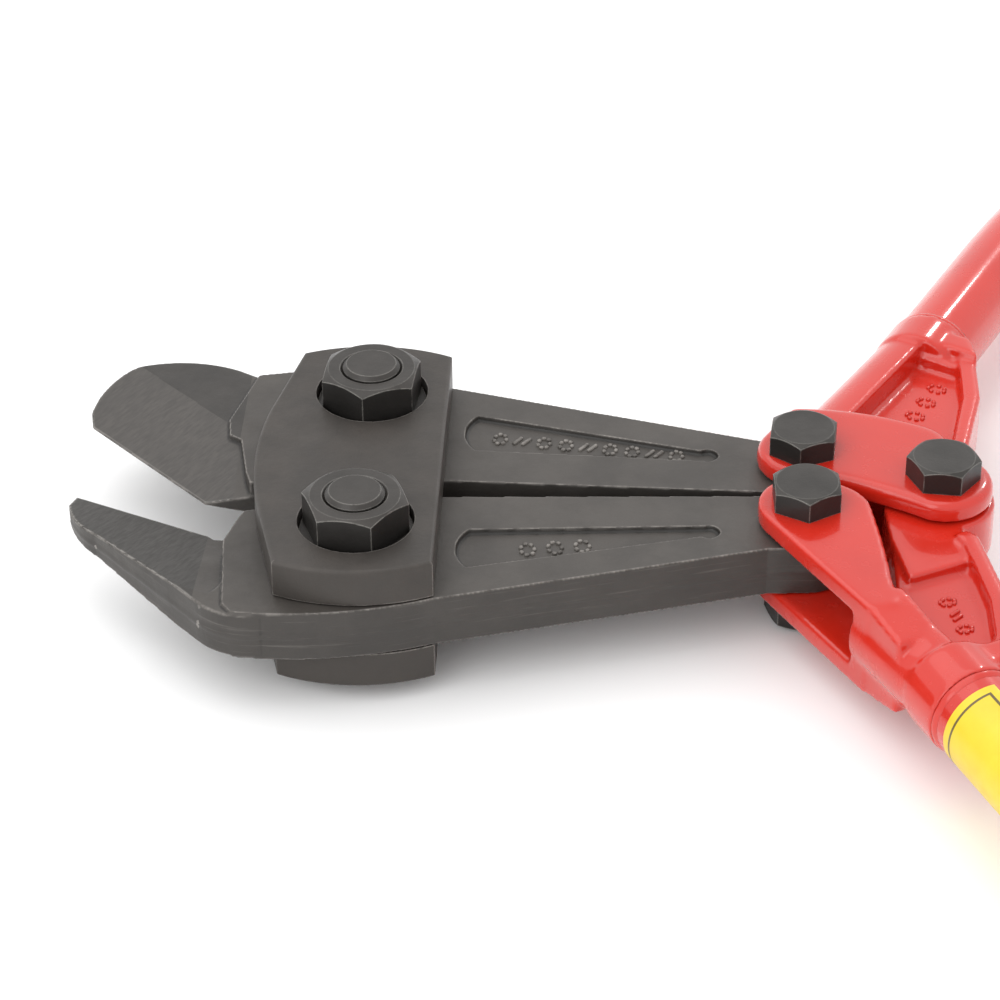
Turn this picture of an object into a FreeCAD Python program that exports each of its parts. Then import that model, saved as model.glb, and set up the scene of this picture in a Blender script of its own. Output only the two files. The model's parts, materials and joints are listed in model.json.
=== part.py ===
import FreeCAD, Part
import Sketcher
import math
import os

V = FreeCAD.Vector
Z_AXIS = V(0, 0, 1)

# Driving dimensions, in millimetres and degrees.  All heights are counted from the middle of the
# tool's thickness; the sheet's mid_height lifts everything so that the lower side plate's underside
# lies in the plane Z = 0.  The tool is symmetric about the plane Y = 0, apart from the angled noses
# of the two jaws and the way the two handles interleave.
DIMENSIONS = {
    "mid_height": 14.0,
    # side plates
    "plate_thick": 8.0, "plate_inner": 6.0, "plate_right": 16.1, "plate_corner_x": 15.5,
    "plate_corner_y": 38.6, "plate_right_y": 38.0, "plate_apex_y": 41.8, "plate_left": 22.35,
    "plate_shoulder_x": 20.6, "plate_shoulder_y": 17.0, "plate_edge": 0.8,
    "recess_radius": 11.7, "recess_depth": 3.5,
    # jaws
    "pivot_y": 23.5, "pivot_shank": 7.0, "running_gap": 0.05,
    "jaw_half": 5.6, "nose_half": 5.0, "tail_x": 89.9, "tail_drop": 13.56, "tail_radius": 9.2,
    "arm_pocket_depth": 1.1,
    # pivot nuts and bolts (M12) and the smaller bolts (M8)
    "nut_across": 19.0, "nut_height": 8.0, "pivot_thread": 6.0, "pivot_stud": 1.0,
    "pivot_head_height": 7.5, "washer_thick": 1.5, "washer_outer": 11.3,
    "small_shank": 4.0, "small_across": 13.2, "small_head": 5.1, "small_nut": 6.5,
    # handle forgings
    "handle_angle": 60.0, "centre_along": 5.44, "centre_across": 29.3, "fork_half": 5.95,
    "ear_half": 10.5, "ear_radius": 9.7, "ear_round": 1.8, "boss_radius": 10.4,
    "rib_half": 8.7, "rib_side": 9.6, "ledge_half": 6.0, "rim_half": 7.0, "web_half": 3.2,
    "tongue_half": 5.5, "tongue_radius": 11.0, "open_pivot_radius": 6.2,
    # tubes, sockets and grips
    "flare_angle": 4.2, "socket_start": 53.0, "socket_length": 9.5, "socket_radius": 9.9,
    "tube_radius": 9.2, "tube_wall": 2.0, "tube_straight": 48.0, "bend_radius": 260.0,
    "bend_angle": 23.2, "tube_end": 250.0, "grip_radius": 13.5, "grip_length": 150.0,
    "grip_cap": 5.0, "pin_radius": 2.0, "label_length": 34.0, "label_gap": 4.0, "label_thick": 0.2,
}

doc = FreeCAD.newDocument("bolt_cutters")
sheet = doc.addObject("Spreadsheet::Sheet", "Sizes")
for row, (alias, number) in enumerate(DIMENSIONS.items(), start=1):
    sheet.set(f"A{row}", alias)
    sheet.set(f"B{row}", str(number))
    sheet.setAlias(f"B{row}", alias)
doc.recompute()

SUB_PARTS = []


def size(alias):
    """The value of one cell of the sheet."""
    return float(sheet.get(alias))


def term(coordinate):
    """A coordinate is a number, or a cell's alias with an optional minus: value and formula."""
    if isinstance(coordinate, str):
        sign = -1.0 if coordinate.startswith("-") else 1.0
        alias = coordinate.lstrip("-")
        return sign * size(alias), f"{sign:.0f} * Sizes.{alias}"
    return float(coordinate), None


def point(corner):
    return V(term(corner[0])[0], term(corner[1])[0], 0)


def new_body(name):
    body = doc.addObject("PartDesign::Body", name)
    body.Label = name
    SUB_PARTS.append(body)
    return body


def new_sketch(body, role="XY_Plane", height=None, offset=None):
    """A sketch on one of the body's own origin planes, moved along its normal or by an offset."""
    sketch = body.newObject("Sketcher::SketchObject", f"{body.Name}_sketch")
    plane = [item for item in body.Origin.OriginFeatures if item.Role == role][0]
    sketch.AttachmentSupport = [(plane, "")]
    sketch.MapMode = "FlatFace"
    if offset is not None:
        sketch.AttachmentOffset = offset
    if height is not None:
        sketch.setExpression("AttachmentOffset.Base.z", height)
    doc.recompute()
    return sketch


def pin_corner(sketch, edge, end, corner):
    """Binds a corner's coordinates to the sheet where they are named there."""
    for axis, coordinate in zip(("DistanceX", "DistanceY"), corner):
        number, formula = term(coordinate)
        if formula:
            index = sketch.addConstraint(Sketcher.Constraint(axis, -1, 1, edge, end, number))
            sketch.setExpression(f"Constraints[{index}]", formula)


def outline(sketch, start, steps):
    """A closed outline.  A step is a corner (x, y), or a pair (through, corner) for an arc."""
    here = start
    ends = []
    for step in steps:
        is_arc = isinstance(step[0], tuple)
        there = step[1] if is_arc else step
        begin = point(here)
        finish = point(there)
        if is_arc:
            middle = point(step[0])
            turn = (middle - begin).cross(finish - middle).z
            curve = Part.Arc(begin, middle, finish) if turn > 0 else Part.Arc(finish, middle, begin)
        else:
            curve = Part.LineSegment(begin, finish)
        edge = sketch.addGeometry(curve, False)
        first = 1 if sketch.getPoint(edge, 1).distanceToPoint(begin) < 1e-6 else 2
        ends.append((edge, first, 3 - first, here))
        here = there
    for number, (edge, first, _, corner) in enumerate(ends):
        before = ends[number - 1]
        sketch.addConstraint(Sketcher.Constraint("Coincident", before[0], before[2], edge, first))
        pin_corner(sketch, edge, first, corner)


def circle(sketch, x, y, radius, formula):
    """A circle whose centre and radius are bound to the sheet."""
    centre = point((x, y))
    edge = sketch.addGeometry(Part.Circle(centre, Z_AXIS, radius), False)
    pin_corner(sketch, edge, 3, (x, y))
    index = sketch.addConstraint(Sketcher.Constraint("Radius", edge, radius))
    sketch.setExpression(f"Constraints[{index}]", formula)


def pad(body, sketch, length, symmetric=True):
    feature = body.newObject("PartDesign::Pad", f"{body.Name}_pad")
    feature.Profile = sketch
    if symmetric:
        feature.SideType = "Symmetric"
    feature.setExpression("Length", length)
    doc.recompute()
    return feature


def pocket(body, sketch, length, symmetric=True, downward=True):
    """Cuts the sketch out of the body, and makes sure that it did."""
    before = body.Shape.Volume
    feature = body.newObject("PartDesign::Pocket", f"{body.Name}_pocket")
    feature.Profile = sketch
    if symmetric:
        feature.SideType = "Symmetric"
    feature.Reversed = not downward
    feature.setExpression("Length", length)
    doc.recompute()
    if body.Shape.Volume > before - 0.5:
        raise RuntimeError(f"a pocket in {body.Label} cuts nothing")
    return feature


def both_faces(body, draw, floor, reach):
    """The same recess from the upper and the lower face: everything beyond the floor height."""
    for side in (1, -1):
        sketch = new_sketch(body, height=f"{side} * ({reach})")
        draw(sketch)
        pocket(body, sketch, f"{reach} - {floor}", symmetric=False, downward=side > 0)


def round_edges(body, radius, wanted, kind="Fillet"):
    """Rounds or chamfers the edges of the tip that the test picks out, if the solid allows it."""
    base = body.Tip
    names = [f"Edge{i}" for i, edge in enumerate(base.Shape.Edges, start=1) if wanted(edge)]
    if not names:
        raise RuntimeError(f"no edge to round in {body.Label}")
    feature = body.newObject(f"PartDesign::{kind}", f"{body.Name}_{kind.lower()}")
    feature.Base = (base, names)
    setattr(feature, "Radius" if kind == "Fillet" else "Size", radius)
    doc.recompute()
    if "Invalid" in feature.State or "Error" in feature.State or not feature.Shape.isValid():
        raise RuntimeError(f"{kind} of {len(names)} edges failed in {body.Label}")
    return feature


def level_edge(edge, height):
    """True for an edge that lies wholly in one of the planes z = +-height."""
    box = edge.BoundBox
    return box.ZLength < 1e-4 and abs(abs(box.ZMin) - height) < 1e-4


# --- side plates ---------------------------------------------------------------------------------

def side_plate(name, upper):
    """A cheek of the head, with a counterbored hole over each jaw pivot."""
    body = new_body(name)
    sketch = new_sketch(body, height="Sizes.plate_inner")
    outline(sketch, ("plate_right", "-plate_right_y"), [
        ("plate_right", "plate_right_y"),
        ((0.5, "plate_apex_y"), ("-plate_corner_x", "plate_corner_y")),
        ("-plate_shoulder_x", "plate_shoulder_y"),
        (("-plate_left", 0.0), ("-plate_shoulder_x", "-plate_shoulder_y")),
        ("-plate_corner_x", "-plate_corner_y"),
        ((0.5, "-plate_apex_y"), ("plate_right", "-plate_right_y")),
    ])
    for y in ("pivot_y", "-pivot_y"):
        circle(sketch, 0.0, y, size("pivot_shank") + size("running_gap"),
               "Sizes.pivot_shank + Sizes.running_gap")
    pad(body, sketch, "Sizes.plate_thick", symmetric=False)
    recess = new_sketch(body, height="Sizes.plate_inner + Sizes.plate_thick")
    for y in ("pivot_y", "-pivot_y"):
        circle(recess, 0.0, y, size("recess_radius"), "Sizes.recess_radius")
    pocket(body, recess, "Sizes.recess_depth", symmetric=False)
    top = size("plate_inner") + size("plate_thick")
    edge_size = size("plate_edge")
    round_edges(body, edge_size, lambda edge: level_edge(edge, top) and edge.Length > 15
                and not is_full_circle(edge))
    if not upper:
        body.Placement.Rotation = FreeCAD.Rotation(V(1, 0, 0), 180)
    body.setExpression("Placement.Base.z", "Sizes.mid_height")
    return body


def is_full_circle(edge):
    return edge.Vertexes[0].Point.distanceToPoint(edge.Vertexes[-1].Point) < 1e-6


# --- jaws ----------------------------------------------------------------------------------------

def cutting_bevel(body, tip, heel, width):
    """Grinds both faces of the nose down to the cutting edge that runs from tip to heel."""
    run = V(heel[0] - tip[0], heel[1] - tip[1], 0)
    turn = math.degrees(math.atan2(run.y, run.x))
    middle = V((tip[0] + heel[0]) / 2, (tip[1] + heel[1]) / 2, 0)
    # the sketch lies across the edge: its own x runs away from the edge into the nose, its y is up
    across = FreeCAD.Rotation(Z_AXIS, turn + 90).multiply(FreeCAD.Rotation(V(1, 0, 0), 90))
    plane = FreeCAD.Rotation(V(1, 0, 0), 90)
    inverse = plane.inverted()
    offset = FreeCAD.Placement(inverse.multVec(middle), inverse.multiply(across))
    sketch = new_sketch(body, role="XZ_Plane", offset=offset)
    top = size("nose_half")
    clear = 2 * top
    for side in (1, -1):
        outline(sketch, (-clear, side * 0.25), [
            (0.0, side * 0.25), (width, side * top), (width, side * clear), (-clear, side * clear),
            (-clear, side * 0.25)])
    pocket(body, sketch, "12 * Sizes.nose_half")


def jaw(name, side, nose, tip, heel, bevel_width, hub_left):
    """One jaw: nose with the ground cutting edge, hub between the plates, and the arm to the tail.

    The jaw is drawn about its own pivot with y pointing away from the middle of the tool, so the
    near jaw is the same arm turned over.
    """
    body = new_body(name)
    sketch = new_sketch(body)
    outline(sketch, tip, nose)
    pad(body, sketch, "2 * Sizes.nose_half")
    cutting_bevel(body, tip, heel, bevel_width)

    tail = (size("tail_x"), -size("tail_drop"))
    radius = size("tail_radius")
    arm = new_sketch(body)
    outline(arm, (17.0, -20.6), [
        (81.0, tail[1] - radius + 0.06),
        (tail[0], tail[1] - radius),
        ((tail[0] + radius, tail[1]), (tail[0] + 1.6, tail[1] + radius * 0.985)),
        (82.0, -3.9),
        (16.0, 14.9),
        ((-2.0, 19.9), (-16.0, 21.0)),
    ] + hub_left + [(17.0, -20.6)])
    circle(arm, 0.0, 0.0, size("pivot_shank") + size("running_gap"),
           "Sizes.pivot_shank + Sizes.running_gap")
    circle(arm, "tail_x", "-tail_drop", size("small_shank") + size("running_gap"),
           "Sizes.small_shank + Sizes.running_gap")
    pad(body, arm, "2 * Sizes.jaw_half")


    def slot(sketch):
        outline(sketch, (22.0, -9.0), [
            (69.5, -11.6), ((72.6, -9.6), (69.0, -8.0)), (22.0, 4.0), ((19.6, -2.5), (22.0, -9.0))])
    both_faces(body, slot, "(Sizes.jaw_half - Sizes.arm_pocket_depth)", "Sizes.jaw_half")
    body.setExpression("Placement.Base.y", f"{side} * Sizes.pivot_y")
    if side < 0:
        body.Placement.Rotation = FreeCAD.Rotation(V(1, 0, 0), 180)
    body.setExpression("Placement.Base.z", "Sizes.mid_height")
    return body


# --- hexagons, bolts and nuts --------------------------------------------------------------------

def primitive(kind, name, **formulas):
    item = doc.addObject(f"Part::{kind}", name)
    for prop, formula in formulas.items():
        item.setExpression(prop, formula)
    return item


def raise_to(item, formula, turn=0.0):
    """Sets an item's height by a formula, after turning it about the vertical."""
    item.Placement = FreeCAD.Placement(V(0, 0, 0), FreeCAD.Rotation(Z_AXIS, turn))
    item.setExpression("Placement.Base.z", formula)


def hexagon(name, across, height, bottom, turn, upward=True):
    """A hexagon block with its free face chamfered all round, as on a bolt head or a nut."""
    block = primitive("Prism", f"{name}_block", Circumradius=f"{across} / sqrt(3)", Height=height)
    block.Polygon = 6
    small = f"0.475 * {across}"
    large = f"0.475 * {across} + {height} * tan(60 deg)"
    cone = primitive("Cone", f"{name}_cone", Height=height,
                     Radius1=large if upward else small, Radius2=small if upward else large)
    raise_to(block, bottom, turn)
    raise_to(cone, bottom)
    return boolean("Common", f"{name}_hexagon", block, cone)


def boolean(kind, name, base, tool):
    item = doc.addObject(f"Part::{kind}", name)
    item.Base = base
    item.Tool = tool
    return item


def cylinder(name, radius, height, bottom):
    item = primitive("Cylinder", name, Radius=radius, Height=height)
    raise_to(item, bottom)
    return item


def finish(item, name, x, y):
    """Names a bolt, nut or washer, and puts its axis at (x, y) in the tool."""
    item.Label = name
    item.setExpression("Placement.Base.x", x)
    item.setExpression("Placement.Base.y", y)
    item.setExpression("Placement.Base.z", "Sizes.mid_height")
    SUB_PARTS.append(item)


RECESS_FLOOR = "(Sizes.plate_inner + Sizes.plate_thick - Sizes.recess_depth)"
NUT_SEAT = f"({RECESS_FLOOR} + Sizes.washer_thick)"


def pivot_set(prefix, side, turn):
    """The bolt that a jaw turns on, its washer and its nut, on one side of the tool."""
    x, y = "0", f"{side} * Sizes.pivot_y"
    head = hexagon(f"{prefix}_head", "Sizes.nut_across", "Sizes.pivot_head_height",
                   f"-{RECESS_FLOOR} - Sizes.pivot_head_height", turn, upward=False)
    shank = cylinder(f"{prefix}_shank", "Sizes.pivot_shank", f"2 * {RECESS_FLOOR} - 0.3",
                     f"-{RECESS_FLOOR}")
    stud = primitive("Cone", f"{prefix}_stud_end", Radius1="Sizes.pivot_thread",
                     Radius2="Sizes.pivot_thread - 0.8", Height="0.9")
    raise_to(stud, f"{NUT_SEAT} + Sizes.nut_height + Sizes.pivot_stud - 0.9")
    thread = cylinder(f"{prefix}_thread", "Sizes.pivot_thread",
                      f"Sizes.washer_thick + Sizes.nut_height + Sizes.pivot_stud - 0.6",
                      f"{RECESS_FLOOR} - 0.3")
    bolt = boolean("Fuse", f"{prefix}_lower", head, shank)
    bolt = boolean("Fuse", f"{prefix}_upper", bolt, thread)
    bolt = boolean("Fuse", f"{prefix}_whole", bolt, stud)
    finish(bolt, f"{prefix}_pivot_bolt", x, y)

    washer = boolean("Cut", f"{prefix}_washer_ring",
                     cylinder(f"{prefix}_washer_disc", "Sizes.washer_outer",
                              "Sizes.washer_thick", RECESS_FLOOR),
                     cylinder(f"{prefix}_washer_hole", "Sizes.pivot_thread + 0.3",
                              "Sizes.washer_thick", RECESS_FLOOR))
    finish(washer, f"{prefix}_pivot_washer", x, y)

    nut = hexagon(f"{prefix}_nut", "Sizes.nut_across", "Sizes.nut_height", NUT_SEAT, turn)
    bore = cylinder(f"{prefix}_nut_bore", "Sizes.pivot_thread", "Sizes.nut_height", NUT_SEAT)
    nut = boolean("Cut", f"{prefix}_nut_bored", nut, bore)
    mouth = primitive("Cone", f"{prefix}_nut_mouth", Radius1="Sizes.pivot_thread",
                      Radius2="Sizes.pivot_thread + 0.6", Height="0.6")
    raise_to(mouth, f"{NUT_SEAT} + Sizes.nut_height - 0.6")
    nut = boolean("Cut", f"{prefix}_nut_whole", nut, mouth)
    finish(nut, f"{prefix}_pivot_nut", x, y)


def small_set(prefix, x, y, turn):
    """A bolt through a handle's two ears, with its nut underneath."""
    head = hexagon(f"{prefix}_cap", "Sizes.small_across", "Sizes.small_head", "Sizes.ear_half",
                   turn)
    shank = cylinder(f"{prefix}_bar", "Sizes.small_shank",
                     "2 * Sizes.ear_half + Sizes.small_nut + 0.4",
                     "-Sizes.ear_half - Sizes.small_nut - 0.4")
    end = primitive("Cone", f"{prefix}_end", Radius1="Sizes.small_shank - 0.5",
                    Radius2="Sizes.small_shank", Height="0.6")
    raise_to(end, "-Sizes.ear_half - Sizes.small_nut - 1")
    bolt = boolean("Fuse", f"{prefix}_bolt_upper", head, shank)
    bolt = boolean("Fuse", f"{prefix}_bolt_whole", bolt, end)
    finish(bolt, f"{prefix}_bolt", x, y)

    seat = "-Sizes.ear_half - Sizes.small_nut"
    nut = boolean("Cut", f"{prefix}_nut_whole",
                  hexagon(f"{prefix}_nut", "Sizes.small_across", "Sizes.small_nut", seat,
                          turn + 17, upward=False),
                  cylinder(f"{prefix}_nut_bore", "Sizes.small_shank", "Sizes.small_nut", seat))
    finish(nut, f"{prefix}_nut", x, y)


# --- handles -------------------------------------------------------------------------------------

# Each handle is drawn flat in a frame of its own: the origin on the tail bolt, x along the forging
# and y away from the middle of the tool.  The near handle is the same frame turned over.

def handle_frame(side):
    """Placement of a handle's own frame in the tool."""
    turn = FreeCAD.Rotation(Z_AXIS, side * size("handle_angle"))
    if side < 0:
        turn = turn.multiply(FreeCAD.Rotation(V(1, 0, 0), 180))
    y = side * (size("pivot_y") - size("tail_drop"))
    return FreeCAD.Placement(V(size("tail_x"), y, size("mid_height")), turn)


def on_circle(centre, radius, degrees):
    angle = math.radians(degrees)
    return (centre[0] + radius * math.cos(angle), centre[1] + radius * math.sin(angle))


def polygon(sketch, corners):
    outline(sketch, corners[0], corners[1:] + [corners[0]])


def flat_pad(body, corners, thickness):
    """A straight-sided block, as thick above the middle plane as below it."""
    sketch = new_sketch(body)
    polygon(sketch, corners)
    pad(body, sketch, thickness)


def rounded_bar(body, start, end, side_reach, half, inner):
    """A bar along x with a rounded outer side: the handle's outer rib."""
    turn = FreeCAD.Rotation(V(0, 1, 0), V(1, 0, 0))
    sketch = new_sketch(body, role="YZ_Plane", height=f"{start}")
    centre = side_reach - half
    outline(sketch, (inner, -half), [
        (centre, -half), ((side_reach, 0.0), (centre, half)), (inner, half), (inner, -half)])
    feature = pad(body, sketch, f"{end - start}", symmetric=False)
    return feature


def forging(name, side, forked_at_centre):
    """A drop-forged handle head: ears on the tail bolt, ribs round a thin web, tube socket."""
    body = new_body(name)
    tail = (0.0, 0.0)
    centre = (size("centre_along"), -size("centre_across"))
    lean = math.degrees(math.atan2(centre[1], centre[0]))
    ear = size("ear_radius")
    boss = size("boss_radius")
    front = lean - 90
    if forked_at_centre:
        ear_outline = [
            (13.0, ear), ((19.4, -4.5), (21.6, -18.0)),
            ((20.4, -22.4), on_circle(centre, boss, 18)),
            (on_circle(centre, boss, lean + 10), on_circle(centre, boss, front)),
            ((-5.0, -18.6), on_circle(tail, 0.95 * ear, -145)),
            (on_circle(tail, 0.94 * ear, 160), (0.0, ear))]
        slot = [(-16.0, 16.0), (16.0, 16.0), (17.6, -16.0), (18.8, -27.0), (16.4, -42.0),
                (-16.0, -44.0)]
        web = [(15.0, 2.0), (57.0, 2.0), (57.0, -10.6), (41.0, -19.0), (22.0, -25.6),
               (19.4, -25.6), (17.4, -16.0)]
    else:
        ear_outline = [
            (36.0, ear - 1.1), (37.5, 2.9), ((22.0, -4.8), (6.0, -11.4)),
            ((0.6, -11.3), on_circle(tail, ear, -114)),
            (on_circle(tail, ear, 168), (0.0, ear))]
        slot = [(-16.0, 16.0), (31.0, 16.0), (31.0, -16.0), (-16.0, -16.0)]
        web = [(30.0, 2.0), (57.0, 2.0), (57.0, -10.6), (41.0, -19.0), (22.0, -25.6),
               (14.0, -22.0), (14.0, -12.0), (30.0, -3.0)]
    ears = new_sketch(body)
    outline(ears, (0.0, ear), ear_outline)
    pad(body, ears, "2 * Sizes.ear_half")
    gap = new_sketch(body)
    polygon(gap, slot)
    pocket(body, gap, "2 * Sizes.fork_half")
    if forked_at_centre:
        round_edges(body, size("ear_round"), lambda edge: level_edge(edge, size("ear_half")))
    rib_start = 16.0 if forked_at_centre else 31.0
    rounded_bar(body, rib_start, size("socket_start") + 5, size("rib_side"), size("rib_half"), -1.5)
    flat_pad(body, [(51.0, -15.0), (51.0, 2.0), (55.0, 2.0), (55.0, -13.4)], "2 * Sizes.ledge_half")
    flat_pad(body, [(54.0, -14.2), (54.0, 2.0), (60.0, 2.0), (60.0, -9.4)], "2 * Sizes.rib_half")
    flat_pad(body, [(18.9, -26.4), (22.0, -27.2), (42.0, -20.6), (59.0, -11.0), (56.0, -8.4),
                    (40.5, -17.0), (22.5, -23.4), (18.9, -23.4)], "2 * Sizes.rim_half")
    flat_pad(body, web, "2 * Sizes.web_half")
    if not forked_at_centre:
        blend = new_sketch(body, role="XZ_Plane", height="-3.6")
        polygon(blend, [(33.0, -10.4), (36.0, -10.4), (47.0, -8.4), (47.0, 8.4), (36.0, 10.4),
                        (33.0, 10.4)])
        pad(body, blend, "9.6")
        tongue = new_sketch(body)
        reach = size("tongue_radius")
        outline(tongue, on_circle(centre, reach, front), [
            (2.0, -17.5), (12.0, -12.6), (26.0, -8.0), (27.0, -24.5), (20.0, -26.6),
            on_circle(centre, reach, 12),
            (on_circle(centre, reach, lean + 10), on_circle(centre, reach, front))])
        pad(body, tongue, "2 * Sizes.tongue_half")
    socket(body)
    holes = new_sketch(body)
    circle(holes, 0.0, 0.0, size("small_shank"), "Sizes.small_shank")
    if forked_at_centre:
        circle(holes, "centre_along", "-centre_across", size("small_shank"), "Sizes.small_shank")
    else:
        circle(holes, "centre_along", "-centre_across", size("open_pivot_radius"),
               "Sizes.open_pivot_radius")
    pocket(body, holes, "4 * Sizes.ear_half")
    rivet_hole(body, side)
    body.Placement = handle_frame(side)
    return body


def socket_offset(along=0.0):
    """The plane across the tube's axis, a distance along from the socket's start."""
    flare = math.radians(size("flare_angle"))
    direction = V(math.cos(flare), math.sin(flare), 0)
    place = V(size("socket_start"), 0, 0) + direction * along
    return FreeCAD.Placement(place, FreeCAD.Rotation(Z_AXIS, size("flare_angle")))


def across_tube(body, along):
    """A sketch across the tube's axis: the offset is given in the YZ plane's own axes."""
    place = socket_offset(along)
    own = FreeCAD.Placement(V(0, 0, 0), FreeCAD.Rotation(0.5, 0.5, 0.5, 0.5))
    return new_sketch(body, role="YZ_Plane", offset=own.inverse().multiply(place).multiply(own))


def socket(body):
    """The round socket at the forging's end, bored for the tube."""
    sleeve = across_tube(body, -1.0)
    circle(sleeve, 0.0, 0.0, size("socket_radius"), "Sizes.socket_radius")
    pad(body, sleeve, "Sizes.socket_length + 1", symmetric=False)
    bore = across_tube(body, size("socket_length"))
    circle(bore, 0.0, 0.0, size("tube_radius"), "Sizes.tube_radius")
    pocket(body, bore, "Sizes.socket_length - 2", symmetric=False)


def tube_path():
    """The tube's centre line: start, end of the straight, bend, and end, in the handle's frame."""
    flare = math.radians(size("flare_angle"))
    turn = math.radians(size("bend_angle"))
    start = V(size("socket_start") + 2.2 * math.cos(flare), 2.2 * math.sin(flare), 0)
    knee = start + V(math.cos(flare), math.sin(flare), 0) * size("tube_straight")
    centre = knee + V(math.sin(flare), -math.cos(flare), 0) * size("bend_radius")
    middle = centre + V(-math.sin(flare - turn / 2), math.cos(flare - turn / 2), 0) * size(
        "bend_radius")
    leave = centre + V(-math.sin(flare - turn), math.cos(flare - turn), 0) * size("bend_radius")
    end = leave + V(math.cos(flare - turn), math.sin(flare - turn), 0) * size("tube_end")
    return start, knee, middle, leave, end


def handle_tube(name, side):
    """The steel tube: a short straight out of the socket, one wide bend, and the grip's straight."""
    body = new_body(name)
    start, knee, middle, leave, end = tube_path()
    spine = new_sketch(body)
    spine.addGeometry(Part.LineSegment(start, knee), False)
    spine.addGeometry(Part.Arc(leave, middle, knee), False)
    spine.addGeometry(Part.LineSegment(leave, end), False)
    for first, first_end, second, second_end in ((0, 2, 1, 2), (1, 1, 2, 1)):
        spine.addConstraint(Sketcher.Constraint("Coincident", first, first_end, second, second_end))
    ring = across_tube(body, 2.2)
    circle(ring, 0.0, 0.0, size("tube_radius"), "Sizes.tube_radius")
    circle(ring, 0.0, 0.0, size("tube_radius") - size("tube_wall"),
           "Sizes.tube_radius - Sizes.tube_wall")
    pipe = body.newObject("PartDesign::AdditivePipe", f"{name}_pipe")
    pipe.Profile = ring
    pipe.Spine = (spine, ["Edge1", "Edge2", "Edge3"])
    doc.recompute()
    rivet_hole(body, side)
    body.Placement = handle_frame(side)
    return body


def grip(name, side):
    """The moulded sleeve over the end of a tube, with a collar in front and a closed end."""
    body = new_body(name)
    profile = new_sketch(body)
    tube = size("tube_radius")
    thick = size("grip_radius")
    length = size("grip_length")
    cap = size("grip_cap")
    outline(profile, (-length + cap, tube), [
        (-length + cap, thick - 1.0), ((-length + cap + 1.5, thick + 1.0), (-length + cap + 4, thick + 1.0)),
        (-length + cap + 9, thick), (-1.0, thick), ((3.4, thick - 3.2), (cap, thick - 7.5)),
        (cap, 0.0), (0.0, 0.0), (0.0, tube), (-length + cap, tube)])
    turned = body.newObject("PartDesign::Revolution", f"{name}_turned")
    turned.Profile = profile
    turned.ReferenceAxis = (profile, ["H_Axis"])
    turned.Angle = 360
    doc.recompute()
    start, knee, middle, leave, end = tube_path()
    heading = FreeCAD.Rotation(Z_AXIS, size("flare_angle") - size("bend_angle"))
    body.Placement = handle_frame(side).multiply(FreeCAD.Placement(end, heading))
    return body


def rivet_hole(body, side):
    """Drills the wall that lies underneath for the rivet that holds the tube in its socket."""
    place = socket_offset(size("socket_length") / 2).Base
    sketch = new_sketch(body)
    circle(sketch, place.x, place.y, size("pin_radius"), "Sizes.pin_radius")
    pocket(body, sketch, "2 * Sizes.socket_radius", symmetric=False, downward=side > 0)


def socket_rivet(name, side):
    """The short rivet that holds the tube in its socket, set in the face that lies underneath."""
    bar = primitive("Cylinder", name, Radius="Sizes.pin_radius",
                    Height="Sizes.socket_radius - Sizes.tube_radius + Sizes.tube_wall + 0.4")
    bar.Label = name
    reach = size("socket_radius") - 0.1
    place = socket_offset(size("socket_length") / 2)
    bottom = -reach if side > 0 else size("tube_radius") - size("tube_wall") - 0.5
    bar.Placement = handle_frame(side).multiply(place).multiply(
        FreeCAD.Placement(V(0, 0, bottom), FreeCAD.Rotation()))
    SUB_PARTS.append(bar)
    return bar


def label_band(name, side):
    """A plain adhesive band round the outer side of the tube, just past the socket."""
    body = new_body(name)
    sketch = across_tube(body, size("socket_length") + size("label_gap"))
    inner = size("tube_radius")
    outer = inner + size("label_thick")
    first, last = (-95, 95)
    middle = (first + last) / 2
    outline(sketch, on_circle((0, 0), inner, first), [
        on_circle((0, 0), outer, first),
        (on_circle((0, 0), outer, middle), on_circle((0, 0), outer, last)),
        on_circle((0, 0), inner, last),
        (on_circle((0, 0), inner, middle), on_circle((0, 0), inner, first))])
    pad(body, sketch, "Sizes.label_length", symmetric=False)
    body.Placement = handle_frame(side)
    return body


# --- the tool ------------------------------------------------------------------------------------

FAR_NOSE = [
    (-61.5, 10.0), ((-59.6, 16.0), (-54.5, 21.8)), ((-43.0, 24.6), (-30.5, 21.7)), (-26.0, 18.9),
    (-18.0, 19.5), (-18.0, -22.6), (-31.4, -22.6), (-33.7, -22.4), (-60.7, 5.4)]
FAR_HUB = [
    (-26.0, 18.9), (-30.6, 1.0), (-30.0, -4.6), (-27.4, -6.4), (-25.2, -18.5), (-24.0, -22.3),
    (-10.0, -22.4)]
NEAR_NOSE = [
    (-61.4, -22.0), ((-58.9, -14.6), (-54.0, -9.0)), (-30.4, 16.6), ((-25.6, 20.0), (-18.0, 21.0)),
    (-18.0, -16.0), (-25.0, -14.4), (-28.0, -11.6), (-30.2, -11.2), (-31.55, -12.7),
    (-60.4, -26.06)]
NEAR_HUB = [
    (-23.4, 20.4), (-25.4, 17.6), (-27.4, -3.8), (-25.4, -11.0), (-24.2, -14.4), (-20.0, -15.6),
    (0.0, -19.8)]

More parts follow.
